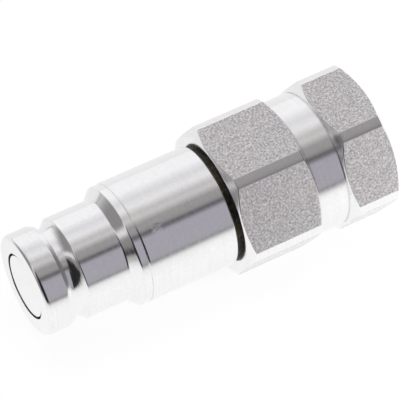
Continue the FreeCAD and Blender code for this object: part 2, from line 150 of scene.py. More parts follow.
# Valve.
FACE_RECESS = 0.2
TIP_RADIUS = 7.5
TIP_LENGTH = 0.75
FACE_RADIUS = 8.4
FACE_LAND = 2.6
SEAL_FLOOR = 6.85
GUIDE_LAND = 8.62
SEAT_CONE = 9.72
FLANGE_END = 12.8
PILOT_RADIUS = 6.1
PILOT_LENGTH = 2.5
PILOT_EDGE = 0.4
STEM_RADIUS = 4.0
STEM_EDGE = 0.6
# Spring.
WIRE_RADIUS = 0.8
WIRE_COLUMNS = 20
SPRING_TURNS = 7
STEPS_PER_TURN = 60
END_COILS = 1
END_COIL_GAP = 0.1
TIP_RISE = 0.2

# Roundings of edges: reach from the corner along each side, the largest share of a side that a reach may
# take, and the place of the further point on each side, in reaches.
KEEN = 0.06
CRISP = 0.15
HEX_CORNER_EDGE = 0.25
SOFT = 0.3
HEX_EDGES = [CRISP, HEX_CORNER_EDGE, HEX_CORNER_EDGE, CRISP]
SIDE_SHARE = 0.3
SIDE_POINT = 1.5
ARC_POINTS = 6
ROWS_PER_CORNER = ARC_POINTS + 2
SHARP_ANGLE = math.radians(40)

# Columns round the axis: on each flat, on each turned corner strip, and about each edge between them,
# with the width over which the two blend there.
FLATS = 6
STRIP_ANGLE = math.acos(HEX_FLAT / HEX_CORNER)
STRIP_EDGE = math.radians(1.0)
FLAT_COLUMNS = 29
STRIP_COLUMNS = 5
STRIP_EDGE_COLUMNS = 8
EDGE_BLEND = 0.12
PLAIN_COLUMNS = 240

# Material slots of the pieces with flats, the dark one holding painted shade, and the map that holds the
# lay of the tool marks.
TURNED_SLOT, DRAWN_SLOT, DARK_SLOT = range(3)
LAY = "lay"

# Turned steel: tones of its tool rings, the shades between which their roughness changes, how often they
# change per metre across the axis, and the tints on them.
RING_TONES = ((0.90, 0.895, 0.893), (0.985, 0.98, 0.975))
RING_SHADES = (0.3, 0.7)
RING_STRETCH = (0, 90, 90)
TURNED_ROUGHNESS = (0.1, 0.18)
CLEAN = (1.0, 1.0, 1.0)
FILM_TINT = (0.98, 0.975, 0.985)
SPECKLE_TINT = (0.95, 0.95, 0.957)
# Drawn steel: tones of its grain, tints of its stain, and its roughness as it comes to be seen edge on.
GRAIN_TONES = ((0.35, 0.34, 0.343), (0.90, 0.873, 0.88))
STAIN_TINTS = ((1.0, 0.98, 0.985), (0.98, 1.0, 0.985))
EDGE_ON = (0.6, 0.9)
DRAWN_ROUGHNESS = (0.6, 0.12)
# Painted shade and a mark from use, as place and as outer and inner reach: painted shade darkening a
# corner of the rear hexagon by the neck, and a scuff on the barrel.
PAINTED_SHADE_SPOT = ((76.0, -9.0, 15.6), (1.7, 0.4))
# Tint of the painted shade at the rear hexagon's corner.
PAINTED_SHADE_TINT = (0.55, 0.52, 0.53)
SCUFF = ((29.5, -8.0, 12.25), (1.9, 0.6))

# Camera of the photograph.
IMAGE_SIZE = 400
FOCAL_PIXELS = 3200
NOSE_PIXEL = (24.4, 286.67)
NOSE_DISTANCE = 0.7168
NEAREST_SEEN = 0.01
VIEW_AZIMUTH = math.radians(-28.69)
VIEW_ELEVATION = math.radians(51.17)
VIEW_ROLL = math.radians(-0.82)

# Brightness of the studio by angle round the object's axis, in degrees from level on the camera's
# side, over the top, to level on the far side: dim near side, a dark bar, then ceiling and far lights.
STUDIO_RING = (
    (0, (0.27, 0.26, 0.27)),
    (6, (0.40, 0.39, 0.43)),
    (46, (0.40, 0.385, 0.44)),
    (53, (0.12, 0.12, 0.125)),
    (55, (0.12, 0.12, 0.125)),
    (62, (0.325, 0.315, 0.32)),
    (75, (0.34, 0.335, 0.335)),
    (85, (0.62, 0.61, 0.60)),
    (94, (0.55, 0.54, 0.54)),
    (108, (0.86, 0.85, 0.86)),
    (125, (0.74, 0.74, 0.76)),
    (146, (0.97, 0.97, 0.99)),
    (180, (0.97, 0.97, 0.975)),
)
HALF_TURN = 180
# Walls on the left and right, with the cosines to the axis between which they fade in.
LEFT_WALL = (0.27, 0.26, 0.26)
LEFT_WALL_REACH = (-0.3, -0.78)
RIGHT_WALL = (0.16, 0.16, 0.165)
RIGHT_WALL_REACH = (0.7, 0.86)
# Patches of the studio, as directions with the cosines to them between which the patch fades in: an
# upright light in the left wall, with its two sides and its foot, and a dark standing shape, with the
# inward normals of its left side and leaning right side and the direction of its middle.
LEFT_LIGHT = (0.78, 0.78, 0.8)
LEFT_LIGHT_SIDES = (
    ((0, 1, 0), (-0.12, -0.02)),
    ((0, 1, 0), (0.16, 0.03)),
    ((0, 0, 1), (0.12, 0.28)),
)
STANDING_SHADE = (0.02, 0.02, 0.02)
STANDING_SIDES = (
    ((0.29, -0.957, 0.0), (-0.05, 0.05)),
    ((-0.842, -0.129, -0.524), (0.0, 0.09)),
    ((-0.643, -0.766, 0.0), (0.42, 0.57)),
)
WHITE = (1, 1, 1, 1)

# Floor, and its dimming as the metal sees it, on the near side, on the left and on the far side: axis,
# strength at the outer place, outer place and inner place.
FLOOR_HALF = 30.0
FLOOR_LIT = (0.9, 0.9, 0.9, 1)
FLOOR_OWN_WHITE = 0.93
FLOOR_DIMS = (
    ("Y", 0.42, -0.48, -0.04),
    ("X", 0.45, -0.2, -0.03),
    ("Y", 0.88, 0.05, 0.0),
)
# Lamps: name, place and size in metres, and power.
LAMPS = (
    ("soft_lamp", (0.05, 0.15, 0.9), 0.8, 6.0),
    ("near_lamp", (0.2, -0.09, 0.03), 0.06, 0.5),
)
LAMP_AIM = Vector((0.04, 0, 0))


def soften(corners, reach):
    """Closed outlines with rounded corners.

    Each corner C becomes the parabola A(1-t)^2 + 2Ct(1-t) + Bt^2, where A and B lie on its two sides
    at the given reach. One more point outside A and one outside B keep the sides straight."""
    back = np.roll(corners, 1, axis=-2) - corners
    on = np.roll(corners, -1, axis=-2) - corners
    back_length = np.linalg.norm(back, axis=-1, keepdims=True)
    on_length = np.linalg.norm(on, axis=-1, keepdims=True)
    cut = np.minimum(np.asarray(reach)[:, None], SIDE_SHARE * np.minimum(back_length, on_length))
    back_step = (back / back_length * cut)[..., None, :]
    on_step = (on / on_length * cut)[..., None, :]
    t = np.linspace(0, 1, ARC_POINTS)[:, None]
    middle = corners[..., None, :]
    arc = middle + back_step * (1 - t) ** 2 + on_step * t ** 2
    first = middle + SIDE_POINT * back_step
    last = middle + SIDE_POINT * on_step
    rows = np.concatenate([first, arc, last], axis=-2)
    return rows.reshape(*corners.shape[:-2], -1, 2)


def even_columns(count=PLAIN_COLUMNS):
    """Even angles for a piece that is round all over."""
    return np.linspace(0, 2 * math.pi, count, endpoint=False)


def hexagon_columns():
    """Angles round the axis for a piece with flats, and the angle of each from the middle of its flat.

    In each sixth of a turn the columns crowd at both edges of the turned corner strip."""
    corner = math.pi / FLATS
    far_edge = 2 * corner - STRIP_ANGLE
    stops = (
        -STRIP_ANGLE + STRIP_EDGE,
        STRIP_ANGLE - STRIP_EDGE,
        STRIP_ANGLE + STRIP_EDGE,
        far_edge - STRIP_EDGE,
        far_edge + STRIP_EDGE,
    )
    counts = (FLAT_COLUMNS, STRIP_EDGE_COLUMNS, STRIP_COLUMNS, STRIP_EDGE_COLUMNS)
    sixth = np.concatenate([
        np.linspace(start, end, count, endpoint=False)
        for start, end, count in zip(stops, stops[1:], counts)
    ])
    middles = corner + np.arange(FLATS) * 2 * corner
    angles = (middles[:, None] + sixth).ravel()
    from_middle = np.tile(np.where(sixth > corner, sixth - 2 * corner, sixth), FLATS)
    return angles, from_middle


def hexagon_wall(from_middle):
    """Radius of the hexagon's wall: flat over cosine of the angle, blended into the corner round.

    The smooth least of both is min(a, b) - (w - |a - b|)^2 / 4w within the width w of their crossing."""
    flat = HEX_FLAT / np.cos(from_middle)
    short = np.maximum(EDGE_BLEND - np.abs(flat - HEX_CORNER), 0)
    return np.minimum(flat, HEX_CORNER) - short ** 2 / (4 * EDGE_BLEND)


def hexagon_rows(front, rear, wall):
    """Corners of the hexagon's outline in each column: end faces and 30 degree chamfers.

    A chamfer runs along by the wall's height over the end face times the tangent of its angle."""
    run = (wall - HEX_FACE) * math.tan(HEX_CHAMFER)
    ends = np.ones_like(wall)
    along = np.stack([front * ends, front + run, rear - run, rear * ends], axis=-1)
    radius = np.stack([HEX_FACE * ends, wall, wall, HEX_FACE * ends], axis=-1)
    return np.stack([along, radius], axis=-1)


def same_rows(rows, columns):
    """Corners of (along, radius, reach) rows, the same in every column."""
    corners = np.array([row[:2] for row in rows], float)
    return np.broadcast_to(corners, (columns, len(rows), 2))


def reaches(rows):
    """Rounding of each of the (along, radius, reach) rows."""
    return [row[2] for row in rows]


def round_outline(rows, angles):
    """Softened outline of (along, radius, reach) rows, the same in every column."""
    return soften(same_rows(rows, len(angles)), reaches(rows))


def hexagon_outline(outside, hexagon_ends, inside, from_middle):
    """Softened outline in every column: rows before the hexagon, the hexagon, and rows inside."""
    columns = len(from_middle)
    corners = np.concatenate([
        same_rows(outside, columns),
        hexagon_rows(*hexagon_ends, hexagon_wall(from_middle)),
        same_rows(inside, columns),
    ], axis=1)
    return soften(corners, reaches(outside) + HEX_EDGES + reaches(inside))


def side_rows(outline, corner):
    """True for the rows of quads on the side after a corner: from the middle of the corner's rounding to
    the middle of the next one's."""
    rows = outline.shape[1]
    start = corner * ROWS_PER_CORNER + ROWS_PER_CORNER // 2
    return (np.arange(rows) - start) % rows < ROWS_PER_CORNER


def flat_quads(outline, from_middle, first_corner):
    """True for the quads on the flats of the hexagon whose outline starts at a given corner."""
    after = np.roll(from_middle, -1)
    within = np.abs(from_middle + after) < 2 * STRIP_ANGLE
    same_flat = np.abs(from_middle - after) < STRIP_ANGLE
    return (within & same_flat)[:, None] & side_rows(outline, first_corner + 1)


def hollow_arc(start, end, radius, steps):
    """Points between two outline points on a hollow arc: its centre plus the radius at even turns."""
    first = np.array(start)
    last = np.array(end)
    chord = last - first
    left = np.array([-chord[1], chord[0]]) / np.linalg.norm(chord)
    centre = (first + last) / 2 + left * math.sqrt(radius ** 2 - chord @ chord / 4)
    from_turn, to_turn = [math.atan2(*(spot - centre)[::-1]) for spot in (first, last)]
    turn = np.linspace(from_turn, to_turn, steps + 1)[1:-1]
    return centre + radius * np.stack([np.cos(turn), np.sin(turn)], axis=-1)


def put_object(name, data):
    """New object in the scene."""
    made = bpy.data.objects.new(name, data)
    bpy.context.scene.collection.objects.link(made)
    return made


def put_mesh(name, points, faces_list, lay, materials, slots=None):
    """Mesh object from points, groups of faces of equal size, and the lay of the tool marks at each of
    the faces' corners."""
    mesh = bpy.data.meshes.new(name)
    loops = np.concatenate([faces.ravel() for faces in faces_list])
    totals = np.concatenate([np.full(len(faces), faces.shape[1]) for faces in faces_list])
    mesh.vertices.add(len(points))
    mesh.vertices.foreach_set("co", (points * MM).ravel())
    mesh.loops.add(len(loops))
    mesh.loops.foreach_set("vertex_index", loops.astype(np.int32))
    mesh.polygons.add(len(totals))
    mesh.polygons.foreach_set("loop_start", (np.cumsum(totals) - totals).astype(np.int32))
    mesh.polygons.foreach_set("loop_total", totals.astype(np.int32))
    mesh.polygons.foreach_set("use_smooth", np.ones(len(totals), bool))
    for material in materials:
        mesh.materials.append(material)
    if slots is not None:
        mesh.polygons.foreach_set("material_index", slots.astype(np.int32))
    mesh.update(calc_edges=True)
    mesh.uv_layers.new(name=LAY).data.foreach_set("uv", lay.ravel())
    mesh.set_sharp_from_angle(angle=SHARP_ANGLE)
    mesh.validate()
    return put_object(name, mesh)


def grid_quads(columns, rows, round_rows):
    """Quads of a grid that wraps round its columns, and round its rows too for a ring."""
    row_count = rows if round_rows else rows - 1
    i, j = np.meshgrid(np.arange(columns), np.arange(row_count), indexing="ij")
    i = i.ravel()
    j = j.ravel()
    next_i = (i + 1) % columns
    next_j = (j + 1) % rows
    return np.stack([i * rows + j, next_i * rows + j, next_i * rows + next_j, i * rows + next_j], axis=1)


def lay_map(outline, angles, round_rows):
    """Lay of the tool marks at each quad corner: turns round the axis, and length along the outline."""
    columns, rows = outline.shape[:2]
    steps = np.linalg.norm(np.diff(outline, axis=1, append=outline[:, :1]), axis=-1)
    along = np.concatenate([np.zeros((columns, 1)), np.cumsum(steps, axis=1)], axis=1)
    along = np.concatenate([along, along[:1]])
    turns = np.append(angles, angles[0] + 2 * math.pi) / (2 * math.pi)
    row_count = rows if round_rows else rows - 1
    corners = []
    for di, dj in ((0, 0), (1, 0), (1, 1), (0, 1)):
        length = along[di:di + columns, dj:dj + row_count]
        turn = np.broadcast_to(turns[di:di + columns, None], length.shape)
        corners.append(np.stack([turn, length], axis=-1))
    return np.stack(corners, axis=2).reshape(-1, 2)


def spun_points(outline, angles):
    """Outline of (along, radius) carried round the axis: y is radius times cosine, z times sine."""
    along = outline[..., 0]
    radius = outline[..., 1]
    turn = angles[:, None]
    return np.stack([along, radius * np.cos(turn), radius * np.sin(turn)], axis=-1).reshape(-1, 3)


def ring(name, outline, angles, materials, slots):
    """Hollow turned piece: a closed outline carried round the axis."""
    quads = grid_quads(*outline.shape[:2], True)
    lay = lay_map(outline, angles, True)
    return put_mesh(name, spun_points(outline, angles), [quads], lay, materials, slots.ravel())


def capped(name, grid, lay, materials):
    """Solid piece from a grid of points that wraps round its columns, closed by a fan at each end."""
    columns, rows = grid.shape[:2]
    here = np.arange(columns)
    after = (here + 1) % columns
    pole = np.full(columns, columns * rows)
    front = np.stack([pole, after * rows, here * rows], axis=1)
    rear = np.stack([pole + 1, here * rows + rows - 1, after * rows + rows - 1], axis=1)
    points = np.concatenate([grid.reshape(-1, 3), grid[:, [0, -1]].mean(axis=0)])
    corner_lay = lay.reshape(columns, rows - 1, 4, 2)
    front_lay = corner_lay[:, 0][:, [0, 1, 0]]
    rear_lay = corner_lay[:, -1][:, [3, 3, 2]]
    whole_lay = np.concatenate([lay, front_lay.reshape(-1, 2), rear_lay.reshape(-1, 2)])
    faces = [grid_quads(columns, rows, False), np.concatenate([front, rear])]
    return put_mesh(name, points, faces, whole_lay, materials)


def spindle(name, outline, angles, materials):
    """Solid turned piece: an outline from axis to axis carried round it."""
    grid = spun_points(outline, angles).reshape(*outline.shape[:2], 3)
    return capped(name, grid, lay_map(outline, angles, False), materials)


def plug_body(turned, drawn, dark):
    """Nose, locking groove, shoulder, barrel, narrow groove and front hexagon, hollow from end to end.

    The outline is carried round the axis, and the hexagon's part of it changes with the angle."""
    angles, from_middle = hexagon_columns()
    flank = hollow_arc((LOCK_FLOOR_END, LOCK_FLOOR_RADIUS), (REAR_LAND_START, NOSE_RADIUS),
                       LOCK_FLANK_RADIUS, LOCK_FLANK_STEPS)
    line_start = BAND_END - BAND_LINE_WIDTH
    line_radius = BAND_RADIUS - BAND_LINE_DEPTH
    lip_end = BODY_FRONT + LIP_DEPTH
    groove_corner = (BARREL_END, BARREL_RADIUS, SOFT)
    lip_corner = (lip_end, BORE_RADIUS, KEEN)
    outside = [
        (BODY_FRONT, LIP_RADIUS + BORE_EDGE, KEEN),
        *[(BODY_FRONT + along, NOSE_RADIUS - drop, SOFT) for along, drop in NOSE_EDGE],
        (LAND_END, NOSE_RADIUS, SOFT),
        (TAPER_END, TAPER_RADIUS, CRISP),
        (LOCK_FLOOR_START, LOCK_FLOOR_RADIUS, SOFT),
        (LOCK_FLOOR_END, LOCK_FLOOR_RADIUS, SOFT),
        *[(along, radius, SOFT) for along, radius in flank],
        (REAR_LAND_START, NOSE_RADIUS, SOFT),
        (REAR_LAND_END, NOSE_RADIUS, SOFT),
        (REAR_LAND_END + BAND_RADIUS - NOSE_RADIUS, BAND_RADIUS, SOFT),
        (line_start, BAND_RADIUS, KEEN),
        (line_start, line_radius, KEEN),
        (BAND_END, line_radius, KEEN),
        (BAND_END, BAND_RADIUS, KEEN),
        (BAND_END + BARREL_EDGE, BARREL_RADIUS, KEEN),
        groove_corner,
        (BARREL_END, NARROW_GROOVE_RADIUS, CRISP),
        (HEX_FRONT, NARROW_GROOVE_RADIUS, CRISP),
        (HEX_FRONT, BARREL_RADIUS, KEEN),
    ]
    inside = [
        (BODY_REAR, JOINT_RADIUS, CRISP),
        (JOINT_START, JOINT_RADIUS, KEEN),
        (JOINT_START, GUIDE_BORE, CRISP),
        (GUIDE_FRONT, GUIDE_BORE, KEEN),
        (GUIDE_FRONT, CAVITY_RADIUS, KEEN),
        (CHAMBER_END + CAVITY_RADIUS - CHAMBER_RADIUS, CAVITY_RADIUS, CRISP),
        (CHAMBER_END, CHAMBER_RADIUS, CRISP),
        (SEAT_START + CHAMBER_RADIUS - BORE_RADIUS, CHAMBER_RADIUS, CRISP),
        (SEAT_START, BORE_RADIUS, CRISP),
        lip_corner,
        (lip_end, LIP_RADIUS, KEEN),
        (BODY_FRONT + BORE_EDGE, LIP_RADIUS, KEEN),
    ]
    outline = hexagon_outline(outside, (HEX_FRONT, BODY_REAR), inside, from_middle)
    groove = outside.index(groove_corner)
    lip = len(outside) + len(HEX_EDGES) + inside.index(lip_corner)
    # The rows in the narrow groove and at the nose's bore lip take the painted shade.
    dark_sides = (groove, groove + 1, lip, lip + 1)
    dark_rows = np.any([side_rows(outline, side) for side in dark_sides], axis=0)
    flats = flat_quads(outline, from_middle, len(outside))
    slots = np.where(flats, DRAWN_SLOT, np.where(dark_rows, DARK_SLOT, TURNED_SLOT))
    return ring("plug_body_finish", outline, angles, [turned, drawn, dark], slots)


def pipe_thread(along, angles):
    """Port wall from the rear inwards: rounded pipe thread, opened by the 45 degree mouth.

    The groove depth is a cosine of the distance along, less a pitch for each right-hand turn, and it
    runs out over one pitch, a plain length before the bottom."""
    turns = angles[:, None] / (2 * math.pi)
    wave = 0.5 - 0.5 * np.cos(2 * math.pi * (along / PIPE_PITCH - turns))
    run_out = np.clip((along - PORT_BOTTOM - PIPE_RELIEF) / PIPE_PITCH, 0, 1)
    radius = PORT_RADIUS + PIPE_DEPTH * wave * run_out
    mouth = PORT_MOUTH - (ADAPTER_REAR - along)
    return np.maximum(radius, mouth)


def rear_adapter(turned, drawn):
    """Spigot, neck and rear hexagon, with the threaded port.

    The outline is carried round the axis, and the hexagon and the thread in it change with the angle."""
    angles, from_middle = hexagon_columns()
    seal_front = SPIGOT_FRONT + SPIGOT_LAND
    seal_rear = seal_front + SEAL_GROOVE
    undercut_start = ADAPTER_HEX_FRONT - NECK_UNDERCUT
    undercut_radius = NECK_RADIUS - NECK_UNDERCUT
    outside = [
        (SPIGOT_FRONT, PASSAGE_RADIUS, CRISP),
        (SPIGOT_FRONT, GUIDE_RADIUS, SOFT),
        (seal_front, GUIDE_RADIUS, KEEN),
        (seal_front, BODY_SEAL_FLOOR, KEEN),
        (seal_rear, BODY_SEAL_FLOOR, KEEN),
        (seal_rear, GUIDE_RADIUS, KEEN),
        (SPIGOT_THREAD, GUIDE_RADIUS, KEEN),
        (SPIGOT_THREAD, JOINT_RADIUS, CRISP),
        (BODY_REAR, JOINT_RADIUS, KEEN),
        (BODY_REAR, NECK_RADIUS - JOINT_LINE, KEEN),
        (BODY_REAR + JOINT_LINE, NECK_RADIUS, CRISP),
        (undercut_start, NECK_RADIUS, KEEN),
        (undercut_start, undercut_radius, KEEN),
        (ADAPTER_HEX_FRONT, undercut_radius, KEEN),
    ]
    inside = [
        (ADAPTER_REAR, PORT_MOUTH, KEEN),
        (PORT_BOTTOM, PORT_RADIUS, CRISP),
        (PORT_BOTTOM - (PORT_RADIUS - PASSAGE_RADIUS) * math.tan(PORT_CONE), PASSAGE_RADIUS, CRISP),
    ]
    plain = hexagon_outline(outside, (ADAPTER_HEX_FRONT, ADAPTER_REAR), inside, from_middle)
    mouth = (len(outside) + len(HEX_EDGES)) * ROWS_PER_CORNER
    past_bottom = mouth + 2 * ROWS_PER_CORNER
    along = np.linspace(ADAPTER_REAR, PORT_BOTTOM, PORT_ROWS)
    wall = np.stack(np.broadcast_arrays(along, pipe_thread(along, angles)), axis=-1)
    outline = np.concatenate([plain[:, :mouth], wall, plain[:, past_bottom:]], axis=1)
    slots = np.where(flat_quads(outline, from_middle, len(outside)), DRAWN_SLOT, TURNED_SLOT)
    return ring("rear_adapter_finish", outline, angles, [turned, drawn], slots)


def flat_face_valve(turned):
    """Poppet: flat face, seal groove, guide land, seat cone, flange, spring pilot and stem.

    The outline runs from the axis to the axis and is carried round it."""
    angles = even_columns()
    face = VALVE_FRONT + FACE_RECESS
    tip_end = VALVE_FRONT + TIP_LENGTH
    groove_end = FACE_LAND + SEAL_GROOVE
    pilot_end = FLANGE_END + PILOT_LENGTH
    pilot_tip = PILOT_RADIUS - PILOT_EDGE
    rows = [
        (face, 0, 0),
        (face, TIP_RADIUS, CRISP),
        (tip_end, TIP_RADIUS, KEEN),
        (tip_end, FACE_RADIUS, KEEN),
        (FACE_LAND, FACE_RADIUS, KEEN),
        (FACE_LAND, SEAL_FLOOR, KEEN),
        (groove_end, SEAL_FLOOR, KEEN),
        (groove_end, GUIDE_LAND, KEEN),
        (SEAT_CONE, GUIDE_LAND, KEEN),
        (SEAT_CONE + FLANGE_RADIUS - GUIDE_LAND, FLANGE_RADIUS, CRISP),
        (FLANGE_END, FLANGE_RADIUS, CRISP),
        (FLANGE_END, PILOT_RADIUS, CRISP),
        (pilot_end - PILOT_EDGE, PILOT_RADIUS, CRISP),
        (pilot_end, pilot_tip, CRISP),
        (pilot_end + pilot_tip - STEM_RADIUS, STEM_RADIUS, CRISP),
        (STEM_END, STEM_RADIUS, STEM_EDGE),
        (STEM_END, 0, 0),
    ]
    outline = round_outline(rows, angles)[:, ROWS_PER_CORNER:-ROWS_PER_CORNER]
    return spindle("flat_face_valve_finish", outline, angles, [turned])


def valve_spring(wire):
    """Round wire on a right-hand helix with closed end coils, ground flat.

    The wire's middle runs round the axis and moves along by little more than one wire per turn in the
    end coils and evenly between them. A circle round it gives the wire, cut where it passes an end
    plane."""
    turn = np.linspace(0, SPRING_TURNS, SPRING_TURNS * STEPS_PER_TURN + 1)
    closed = TIP_RISE + (2 * WIRE_RADIUS + END_COIL_GAP) * END_COILS
    turn_stops = (0, END_COILS, SPRING_TURNS - END_COILS, SPRING_TURNS)
    along_stops = (
        SPRING_FRONT + TIP_RISE,
        SPRING_FRONT + closed,
        SPRING_REAR - closed,
        SPRING_REAR - TIP_RISE,
    )
    along = np.interp(turn, turn_stops, along_stops)
    section = even_columns(WIRE_COLUMNS)[:, None]
    radius = SPRING_RADIUS - WIRE_RADIUS + WIRE_RADIUS * np.cos(section)
    angle = 2 * math.pi * turn
    grid = np.stack([
        np.clip(along - WIRE_RADIUS * np.sin(section), SPRING_FRONT, SPRING_REAR),
        radius * np.cos(angle),
        radius * np.sin(angle),
    ], axis=-1)
    length = np.broadcast_to(angle * SPRING_RADIUS, grid.shape[:2])
    path = np.stack([length, np.zeros_like(length)], axis=-1)
    return capped("valve_spring_wire", grid, lay_map(path, section.ravel(), False), [wire])


def set_inputs(tree, node, inputs):
    """Inputs of a node, linked from sockets or set to values."""
    for name, value in inputs.items():
        if isinstance(value, bpy.types.NodeSocket):
            tree.links.new(value, node.inputs[name])
        else:
            node.inputs[name].default_value = value


def add_node(tree, kind, inputs=None, **settings):
    """New node with its settings and inputs."""
    made = tree.nodes.new(kind)
    for name, value in settings.items():
        setattr(made, name, value)
    set_inputs(tree, made, inputs or {})
    return made


def mixed_colour(tree, factor, first, second, operation):
    """Mix of two colours, each of them a socket or a plain colour."""
    first_socket, second_socket, result = 6, 7, 2
    inputs = {"Factor": factor}
    for socket, colour in ((first_socket, first), (second_socket, second)):
        inputs[socket] = colour if isinstance(colour, bpy.types.NodeSocket) else (*colour, 1)
    mixed = add_node(tree, "ShaderNodeMix", inputs, data_type="RGBA", blend_type=operation)
    return mixed.outputs[result]


def blend(tree, mask, below, above):
    """Colour below where the mask is 0 and above where it is 1."""
    return mixed_colour(tree, mask, below, above, "MIX")


def tinted(tree, colour, tint):
    """Product of two colours."""
    return mixed_colour(tree, 1.0, colour, tint, "MULTIPLY")


def combined(tree, first, second, operation="MULTIPLY"):
    """Product of two values, or the result of another operation on them."""
    return add_node(tree, "ShaderNodeMath", {0: first, 1: second}, operation=operation).outputs[0]


def spread(tree, value, ends, results, curve="LINEAR"):
    """Value carried from one range to another, and held at its ends."""
    inputs = {
        "Value": value,
        "From Min": ends[0],
        "From Max": ends[1],
        "To Min": results[0],
        "To Max": results[1],
    }
    return add_node(tree, "ShaderNodeMapRange", inputs, interpolation_type=curve).outputs["Result"]


def fade(tree, value, ends):
    """Mask that rises smoothly from 0 at the first end to 1 at the second, whichever way they lie."""
    return spread(tree, value, ends, (0.0, 1.0), "SMOOTHSTEP")


def near(tree, place, spot, reach):
    """Mask that is 1 about a spot of the piece and fades to 0 at its outer reach."""
    spot_metres = [size * MM for size in spot]
    away = add_node(tree, "ShaderNodeVectorMath", {0: place, 1: spot_metres}, operation="DISTANCE")
    return fade(tree, away.outputs["Value"], [size * MM for size in reach])


def sky_patch(tree, way, sides):
    """Mask of a patch of the sky: the product of a fade along the cosine to each of its directions."""
    mask = 1.0
    for direction, ends in sides:
        cosine = add_node(tree, "ShaderNodeVectorMath", {0: way, 1: direction}, operation="DOT_PRODUCT")
        mask = combined(tree, fade(tree, cosine.outputs["Value"], ends), mask)
    return mask


def new_group(name, inputs, outputs):
    """Empty node group with named sockets, its inputs' sockets and its output node."""
    group = bpy.data.node_groups.new(name, "ShaderNodeTree")
    for way, sockets in (("INPUT", inputs), ("OUTPUT", outputs)):
        for socket, kind in sockets:
            group.interface.new_socket(socket, in_out=way, socket_type="NodeSocket" + kind)
    return group, add_node(group, "NodeGroupInput").outputs, add_node(group, "NodeGroupOutput")


def use_group(tree, group, inputs):
    """One use of a shared effect."""
    return add_node(tree, "ShaderNodeGroup", inputs, node_tree=group).outputs


def mottle_group():
    """Shared effect: uneven spots as a shade from 0 to 1, with their relief as a normal."""
    middle_shade = 0.5
    group, given, output = new_group(
        "mottle",
        (("Place", "Vector"), ("Scale", "Float"), ("Contrast", "Float"), ("Relief", "Float")),
        (("Shade", "Float"), ("Normal", "Vector")))
    noise = {"Vector": given["Place"], "Scale": given["Scale"], "Detail": 2.0}
    spots = add_node(group, "ShaderNodeTexNoise", noise).outputs["Fac"]
    centred = combined(group, spots, middle_shade, "SUBTRACT")
    shade = add_node(group, "ShaderNodeMath", {0: centred, 1: given["Contrast"], 2: middle_shade},
                     operation="MULTIPLY_ADD", use_clamp=True)
    relief = add_node(group, "ShaderNodeBump", {"Height": spots, "Distance": given["Relief"]})
    set_inputs(group, output, {"Shade": shade.outputs[0], "Normal": relief.outputs["Normal"]})
    return group


def tool_marks_group():
    """Shared effect: rings left by the tool, drawn out round the axis, as a shade and a normal."""
    group, given, output = new_group(
        "tool_marks",
        (("Place", "Vector"), ("Along", "Float"), ("Rings", "Float"), ("Relief", "Float")),
        (("Shade", "Float"), ("Normal", "Vector")))
    around = add_node(group, "ShaderNodeVectorMath", {0: given["Place"], 1: RING_STRETCH},
                      operation="MULTIPLY")
    step = combined(group, given["Along"], given["Rings"])
    along = add_node(group, "ShaderNodeCombineXYZ", {"X": step})
    spot = add_node(group, "ShaderNodeVectorMath", {0: around.outputs[0], 1: along.outputs[0]},
                    operation="ADD")
    noise = {"Vector": spot.outputs[0], "Scale": 1.0, "Detail": 3.0}
    rings = add_node(group, "ShaderNodeTexNoise", noise).outputs["Fac"]
    relief = add_node(group, "ShaderNodeBump", {"Height": rings, "Distance": given["Relief"]})
    set_inputs(group, output, {"Shade": rings, "Normal": relief.outputs["Normal"]})
    return group


def empty_tree(owner):
    """Node tree of a material or a world, cleared."""
    owner.use_nodes = True
    owner.node_tree.nodes.clear()
    return owner.node_tree


def new_material(name):
    """Material, its empty node tree, and the place on the piece."""
    material = bpy.data.materials.new(name)
    tree = empty_tree(material)
    return material, tree, add_node(tree, "ShaderNodeTexCoord").outputs["Object"]


def put_surface(tree, inputs):
    """Shader with its inputs, as the surface of the material."""
    shader = add_node(tree, "ShaderNodeBsdfPrincipled", inputs)
    add_node(tree, "ShaderNodeOutputMaterial", {"Surface": shader.outputs["BSDF"]})


def turned_steel(name):
    """Bright turned steel: fine rings along the tool's lay, a faint film and speckle, a scuff from use,
    a patch of painted shade at a corner of the rear hexagon, and a reflection drawn out across the
    rings."""
    material, tree, place = new_material(name)
    lay = add_node(tree, "ShaderNodeUVMap", uv_map=LAY)
    along = add_node(tree, "ShaderNodeSeparateXYZ", {"Vector": lay.outputs["UV"]}).outputs["Y"]
    marks = use_group(tree, tool_marks, {"Place": place, "Along": along, "Rings": 1.6, "Relief": 4e-6})
    film = use_group(tree, mottle, {"Place": place, "Scale": 260.0, "Contrast": 2.0})
    speckle = use_group(tree, mottle, {"Place": place, "Scale": 1700.0, "Contrast": 2.2})
    colour = blend(tree, marks["Shade"], *RING_TONES)
    colour = tinted(tree, colour, blend(tree, film["Shade"], FILM_TINT, CLEAN))
    colour = tinted(tree, colour, blend(tree, speckle["Shade"], SPECKLE_TINT, CLEAN))
    # Painted shade: the rear hexagon's corner by the neck is darkened to stand for the shade there.
    colour = tinted(tree, colour, blend(tree, near(tree, place, *PAINTED_SHADE_SPOT), CLEAN, PAINTED_SHADE_TINT))
    scratched = combined(tree, speckle["Shade"], near(tree, place, *SCUFF))
    worn = add_node(tree, "ShaderNodeBump",
                    {"Height": scratched, "Distance": 4e-5, "Normal": marks["Normal"]})
    tangent = add_node(tree, "ShaderNodeTangent", direction_type="UV_MAP", uv_map=LAY)
    put_surface(tree, {
        "Base Color": colour,
        "Metallic": 1.0,
        "Roughness": spread(tree, marks["Shade"], RING_SHADES, TURNED_ROUGHNESS),
        "Normal": worn.outputs["Normal"],
        "Tangent": tangent.outputs["Tangent"],
        "Anisotropic": 0.6,
        "Anisotropic Rotation": 0.25,
    })
    return material


